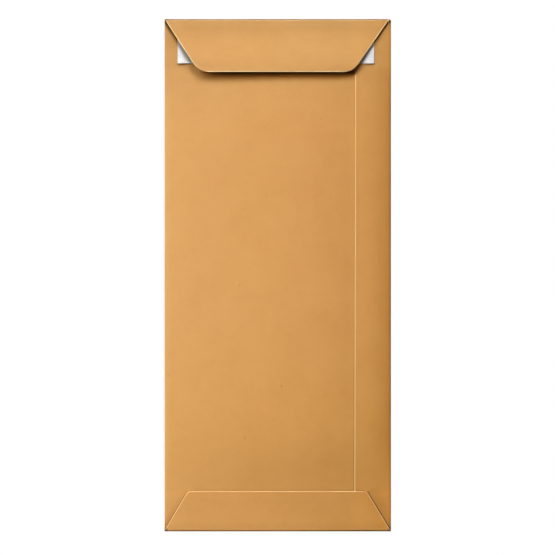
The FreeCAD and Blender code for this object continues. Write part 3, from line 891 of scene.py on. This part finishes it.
# painted shade on the corners' very tips, standing in for the dark open ends of the folds
flat = node(nt, "ShaderNodeVectorMath", operation="MULTIPLY")
nt.links.new(mm, flat.inputs[0])
flat.inputs[1].default_value = (1.0, 1.0, 0.0)
tips = []
for px, py in ((XL + 0.15, YT - 0.55), (XR - 0.35, YT - 0.45), (XL + 0.1, YB + 0.25),
               (XR - 0.1, YB + 0.25)):
    away = node(nt, "ShaderNodeVectorMath", operation="DISTANCE")
    nt.links.new(flat.outputs[0], away.inputs[0])
    away.inputs[1].default_value = (px, py, 0.0)
    tips.append(span(nt, away.outputs["Value"], 0.25, 0.80, 0.85, 0.0))
base = mix_colour(nt, math_node(nt, "MULTIPLY", greatest(nt, tips), span(nt, z, 0.2, 0.4)),
                  base, (0.075, 0.030, 0.006))
nt.links.new(base, bsdf.inputs["Base Color"])
nt.links.new(scale_range(nt, math_node(nt, "ADD", math_node(nt, "MULTIPLY", grain, 0.5),
                                       math_node(nt, "MULTIPLY", patch, 0.5)), 0.76, 0.92),
             bsdf.inputs["Roughness"])
bsdf.inputs["Specular IOR Level"].default_value = 0.12
height = math_node(nt, "ADD", math_node(nt, "MULTIPLY", grain, 0.6),
                   math_node(nt, "ADD", math_node(nt, "MULTIPLY", cross, 0.4),
                             math_node(nt, "MULTIPLY", patch, 0.8)))
bump = node(nt, "ShaderNodeBump")
bump.inputs["Strength"].default_value = 0.30
bump.inputs["Distance"].default_value = 0.000035
nt.links.new(height, bump.inputs["Height"])
nt.links.new(bump.outputs["Normal"], bsdf.inputs["Normal"])

# release liner: smooth coated paper with a slight sheen
liner_mat, nt, bsdf = nodes_of("liner_paper")
blank = attribute(nt, "blank", "Vector")
cloud = noise(nt, blank, 5.0, 3.0, 0.5)
fine = noise(nt, blank, 0.5, 2.0, 0.5, stretch=(0.3, 1.0), offset=(4, 2, 0))
tone = math_node(nt, "ADD", math_node(nt, "MULTIPLY", cloud, 0.7),
                 math_node(nt, "MULTIPLY", fine, 0.3))
base = ramp(nt, tone, [(0.30, (0.77, 0.82, 0.83)), (0.47, (0.90, 0.925, 0.91)),
                       (0.56, (0.955, 0.96, 0.94)), (0.75, (0.99, 0.985, 0.96))])
mm, x, y, z = millimetres(nt)
# painted shadow of the closing flap's sides on the liner
shade = greatest(nt, [
    beside(nt, mm, (-50.8, 114.85), (-35.28, 91.0), -1, 0.60, 0.76, 2.3),
    beside(nt, mm, (50.05, 114.85), (33.65, 91.0), 1, 0.20, 0.50, 2.4)])
base = mix_colour(nt, shade, base, (0.26, 0.29, 0.25))
# the liner's cut edges and lower edge lightened as a painted highlight, weaker inside the
# painted shadow
rim = attribute(nt, "rim")
low = span(nt, y, YT - 19.9 + 0.55, YT - 19.9 + 1.0, 1.0, 0.0)
rim = math_node(nt, "MAXIMUM", rim, math_node(nt, "MULTIPLY", low, 0.8))
rim = math_node(nt, "MULTIPLY", rim,
                math_node(nt, "SUBTRACT", 1.0, math_node(nt, "MULTIPLY", shade, 0.7)))
base = mix_colour(nt, math_node(nt, "MULTIPLY", rim, 0.9), base, (1.0, 0.98, 0.92))
nt.links.new(base, bsdf.inputs["Base Color"])
nt.links.new(scale_range(nt, cloud, 0.26, 0.42), bsdf.inputs["Roughness"])
bsdf.inputs["Specular IOR Level"].default_value = 0.55
bsdf.inputs["Coat Weight"].default_value = 0.25
bsdf.inputs["Coat Roughness"].default_value = 0.18
bump = node(nt, "ShaderNodeBump")
bump.inputs["Strength"].default_value = 0.25
bump.inputs["Distance"].default_value = 0.00004
nt.links.new(tone, bump.inputs["Height"])
nt.links.new(bump.outputs["Normal"], bsdf.inputs["Normal"])

# adhesive: a milky, slightly glossy film
glue_mat, nt, bsdf = nodes_of("seal_adhesive")
blank = attribute(nt, "blank", "Vector")
cloud = noise(nt, blank, 2.5, 3.0, 0.6)
base = ramp(nt, cloud, [(0.3, (0.72, 0.66, 0.50)), (0.7, (0.86, 0.82, 0.70))])
nt.links.new(base, bsdf.inputs["Base Color"])
nt.links.new(scale_range(nt, cloud, 0.22, 0.5), bsdf.inputs["Roughness"])
bump = node(nt, "ShaderNodeBump")
bump.inputs["Strength"].default_value = 0.3
bump.inputs["Distance"].default_value = 0.00003
nt.links.new(cloud, bump.inputs["Height"])
nt.links.new(bump.outputs["Normal"], bsdf.inputs["Normal"])

for ob, mat, cad, slot in ((envelope, kraft, "envelope", "kraft_paper"),
                           (adhesive, glue_mat, "adhesive_strip", "seal_adhesive"),
                           (liner, liner_mat, "release_liner", "liner_paper")):
    ob.data.materials.append(mat)
    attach(ob, "root")
    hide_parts(cad)

# ------------------------------------------------------------ floor and light
fm = bpy.data.meshes.new("floor")
half = 80.0
fm.from_pydata([(-half, -half, 0), (half, -half, 0), (half, half, 0), (-half, half, 0)],
               [], [(0, 1, 2, 3)])
floor = bpy.data.objects.new("floor", fm)
bpy.context.scene.collection.objects.link(floor)
floor.location = (0, 0, -0.00005)
floor.visible_diffuse = False
floor.visible_glossy = False
floor_mat, nt, bsdf = nodes_of("floor")
bsdf.inputs["Base Color"].default_value = (0.05, 0.05, 0.05, 1.0)
bsdf.inputs["Roughness"].default_value = 0.9
bsdf.inputs["Specular IOR Level"].default_value = 0.1
bsdf.inputs["Emission Color"].default_value = (1.0, 1.0, 1.0, 1.0)
bsdf.inputs["Emission Strength"].default_value = 0.97
fm.materials.append(floor_mat)

wm = bpy.data.meshes.new("backdrop")
turns = [2 * math.pi * i / 64 for i in range(64)]
wall = [(8.0 * math.cos(a), 8.0 * math.sin(a), zv) for zv in (-0.00004, 6.0) for a in turns]
wm.from_pydata(wall, [], [((i + 1) % 64, i, 64 + i, 64 + (i + 1) % 64) for i in range(64)])
backdrop = bpy.data.objects.new("backdrop", wm)
bpy.context.scene.collection.objects.link(backdrop)
backdrop.visible_diffuse = False
backdrop.visible_glossy = False
backdrop.visible_shadow = False
wm.materials.append(floor_mat)


def area(name, turn, height, distance, size, strength, toward=(0, 0, 0), spread=None,
         colour=(1.0, 1.0, 1.0)):
    """A round softbox seen from the envelope at turn degrees east of north and
    height degrees up."""
    a, e = math.radians(turn), math.radians(height)
    at = Vector((math.sin(a) * math.cos(e), math.cos(a) * math.cos(e), math.sin(e)))
    data = bpy.data.lights.new(name, "AREA")
    data.shape = "DISK"
    data.size = size
    data.energy = strength * 25.0 * distance ** 2
    data.color = colour
    if spread:
        data.spread = spread
    ob = bpy.data.objects.new(name, data)
    bpy.context.scene.collection.objects.link(ob)
    ob.location = at * distance
    ob.rotation_euler = (Vector(toward) - ob.location).to_track_quat("-Z", "Y").to_euler()
    return ob


# most of the softboxes have grids and point past the envelope's left side, so
# that the light falls off to the right and downwards
GRID = 2 * math.atan(0.42)
area("north_low", 0, 26, 2.2, 1.0, 0.0478, (-0.45, 0, 0), GRID, (0.973, 1.0, 1.22))
area("north_high", 0, 44, 2.2, 1.0, 0.0034, (-0.45, 0, 0), GRID, (1.5, 0.60, 0.0))
area("north_west", -45, 30, 2.2, 1.0, 0.0235, (-0.40, -0.25, 0), GRID, (0.76, 1.06, 1.02))
area("west", -65, 30, 2.2, 1.0, 0.1187, (0, 0, 0), None, (1.04, 1.0, 0.82))
area("west_grid", -65, 30, 2.2, 1.0, 0.0045, (-0.30, -0.40, 0), GRID, (1.95, 0.47, 0.0))
area("west_near", -81, 23.6, 0.552, 0.28, 0.0070, (0, 0, 0), None, (1.1, 0.2, 1.5))
world = bpy.data.worlds.new("studio")
bpy.context.scene.world = world
world.use_nodes = True
background = world.node_tree.nodes["Background"]
background.inputs["Color"].default_value = (0.97, 0.98, 1.0, 1.0)
background.inputs["Strength"].default_value = 0.008

# --------------------------------------------------------------------- camera
# square-on from above through a long lens, framed as the photograph is
PX = 0.44857 * MM
D_CAM = 2.4
cam = bpy.data.cameras.new("camera")
cam.sensor_fit = "HORIZONTAL"
cam.sensor_width = 36.0
cam.lens = 36.0 * (D_CAM - 0.0012) / (555 * PX)
cam.clip_start, cam.clip_end = 0.05, 200.0
camera = bpy.data.objects.new("camera", cam)
bpy.context.scene.collection.objects.link(camera)
camera.location = ((277.5 - 277.75) * PX, (114.85 * MM) - (277.5 - 19.05) * PX, D_CAM)
camera.rotation_euler = (0, 0, 0)
bpy.context.scene.camera = camera

view = bpy.context.scene.view_settings
view.view_transform = "Standard"
view.look = "None"
view.exposure = 0.0
view.gamma = 1.0
